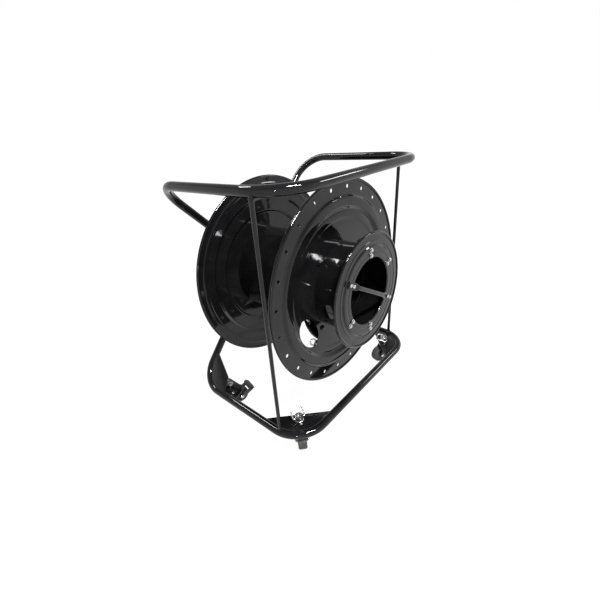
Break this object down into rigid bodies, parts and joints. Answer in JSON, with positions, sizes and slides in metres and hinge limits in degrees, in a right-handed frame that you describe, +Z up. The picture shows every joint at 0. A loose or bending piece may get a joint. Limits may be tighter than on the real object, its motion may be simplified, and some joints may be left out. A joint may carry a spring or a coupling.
{
  "type": "cable drum reel on castors",
  "caption": "Hand-turned sheet-steel cable drum hung on a stub spindle in a bent-tube carrying frame with swivel castors, an open-mouthed plug compartment at the front.",
  "frame": {"origin": "on the floor, at the middle of the bounding box, below the drum", "axes": "+Z up, the drum turns about Y, its open mouth faces -Y, +X is to the right seen from the mouth"},
  "size_m": [0.4976, 0.382, 0.5684],
  "materials": {
    "black_paint": "high gloss",
    "zinc": "bright zinc plate",
    "bright_steel": "turned",
    "black_plastic": "fine grain",
    "rubber": "satin"
  },
  "bodies": {
    "frame": {"upper_frame": "black_paint", "lower_frame": "black_paint", "strut_rod_left": "black_paint", "strut_rod_right": "black_paint", "hub_boss": "black_paint", "hub_plate": "black_paint", "hub_cap": "black_plastic", "spindle": "bright_steel", "spindle_bolt_ring": "zinc", "spindle_washer": "zinc", "spindle_nut": "zinc", "brake_nut": "zinc", "gusset_front_left": "black_paint", "gusset_front_right": "black_paint", "castor_plate_rear_left": "black_paint", "castor_plate_rear_right": "black_paint", "rear_gusset_left": "black_paint", "rear_gusset_right": "black_paint", "castor_stem_front_left": "zinc", "castor_stem_front_right": "zinc", "castor_stem_rear_left": "zinc", "castor_stem_rear_right": "zinc", "stem_nut_rear_left": "zinc", "stem_nut_rear_right": "zinc", "latch_barrel_left": "zinc", "latch_barrel_right": "zinc"},
    "drum": {"rear_flange": "black_paint", "drum_core": "black_paint", "core_cone": "black_paint", "core_partition": "black_paint", "front_flange": "black_paint", "core_bolt_ring": "black_paint", "compartment_shell": "black_paint", "small_flange": "black_paint", "mouth_bolt_ring": "zinc", "grip_bar": "black_paint", "cable_anchor": "zinc", "bearing_tube": "black_paint", "rear_bearing": "bright_steel", "front_bearing": "bright_steel"},
    "brake_pad": {"brake_pad": "rubber"},
    "brake_screw": {"brake_screw": "zinc", "brake_knob": "black_plastic"},
    "bail_left": {"latch_bail_left": "zinc"},
    "bail_right": {"latch_bail_right": "zinc"},
    "castor_front_left": {"castor_fork_front_left": "black_paint", "castor_axle_front_left": "zinc"},
    "wheel_front_left": {"castor_wheel_front_left": "rubber"},
    "castor_front_right": {"castor_fork_front_right": "black_paint", "castor_axle_front_right": "zinc"},
    "wheel_front_right": {"castor_wheel_front_right": "rubber"},
    "castor_rear_left": {"castor_fork_rear_left": "black_paint", "castor_axle_rear_left": "zinc"},
    "wheel_rear_left": {"castor_wheel_rear_left": "rubber"},
    "pedal_rear_left": {"castor_pedal_rear_left": "black_plastic"},
    "castor_rear_right": {"castor_fork_rear_right": "black_paint", "castor_axle_rear_right": "zinc"},
    "wheel_rear_right": {"castor_wheel_rear_right": "rubber"},
    "pedal_rear_right": {"castor_pedal_rear_right": "black_plastic"}
  },
  "joints": [
    {"name": "drum_spin", "type": "hinge", "parent": "frame", "child": "drum", "pos_m": [0, 0, 0.314], "axis": [0, 1, 0], "continuous": true},
    {"name": "brake_pad_travel", "type": "slide", "parent": "frame", "child": "brake_pad", "axis": [0, -1, 0], "range_m": [0, 0.00125]},
    {"name": "brake_screw_turn", "type": "hinge", "parent": "brake_pad", "child": "brake_screw", "pos_m": [0, 0.165, 0.402], "axis": [0, -1, 0], "range_deg": [0, 360]},
    {"name": "front_left_swivel", "type": "hinge", "parent": "frame", "child": "castor_front_left", "pos_m": [-0.19, -0.12, 0.05], "axis": [0, 0, 1], "continuous": true},
    {"name": "front_left_roll", "type": "hinge", "parent": "castor_front_left", "child": "wheel_front_left", "pos_m": [-0.20338, -0.13486, 0.022], "axis": [0.7431, -0.6691, 0], "continuous": true},
    {"name": "front_right_swivel", "type": "hinge", "parent": "frame", "child": "castor_front_right", "pos_m": [0.19, -0.12, 0.05], "axis": [0, 0, 1], "continuous": true},
    {"name": "front_right_roll", "type": "hinge", "parent": "castor_front_right", "child": "wheel_front_right", "pos_m": [0.17068, -0.11482, 0.022], "axis": [-0.2588, -0.9659, 0], "continuous": true},
    {"name": "rear_left_swivel", "type": "hinge", "parent": "frame", "child": "castor_rear_left", "pos_m": [-0.21, 0.1, 0.05], "axis": [0, 0, 1], "continuous": true},
    {"name": "rear_left_roll", "type": "hinge", "parent": "castor_rear_left", "child": "wheel_rear_left", "pos_m": [-0.19051, 0.0955, 0.022], "axis": [0.225, 0.9744, 0], "continuous": true},
    {"name": "rear_left_pedal", "type": "hinge", "parent": "castor_rear_left", "child": "pedal_rear_left", "pos_m": [-0.19051, 0.0955, 0.022], "axis": [0.225, 0.9744, 0], "range_deg": [0, 12]},
    {"name": "rear_right_swivel", "type": "hinge", "parent": "frame", "child": "castor_rear_right", "pos_m": [0.21, 0.1, 0.05], "axis": [0, 0, 1], "continuous": true},
    {"name": "rear_right_roll", "type": "hinge", "parent": "castor_rear_right", "child": "wheel_rear_right", "pos_m": [0.19121, 0.09316, 0.022], "axis": [0.342, -0.9397, 0], "continuous": true},
    {"name": "rear_right_pedal", "type": "hinge", "parent": "castor_rear_right", "child": "pedal_rear_right", "pos_m": [0.19121, 0.09316, 0.022], "axis": [0.342, -0.9397, 0], "range_deg": [0, 12]},
    {"name": "bail_left_fold", "type": "hinge", "parent": "frame", "child": "bail_left", "pos_m": [-0.19, -0.12, 0.066], "axis": [0.9397, -0.342, 0], "range_deg": [-52, 120]},
    {"name": "bail_right_fold", "type": "hinge", "parent": "frame", "child": "bail_right", "pos_m": [0.19, -0.12, 0.066], "axis": [0.9397, 0.342, 0], "range_deg": [-12, 150]}
  ],
  "couplings": [
    {"joint": "brake_screw_turn", "follows": "brake_pad_travel", "rad_per_m": 5026.5}
  ]
}
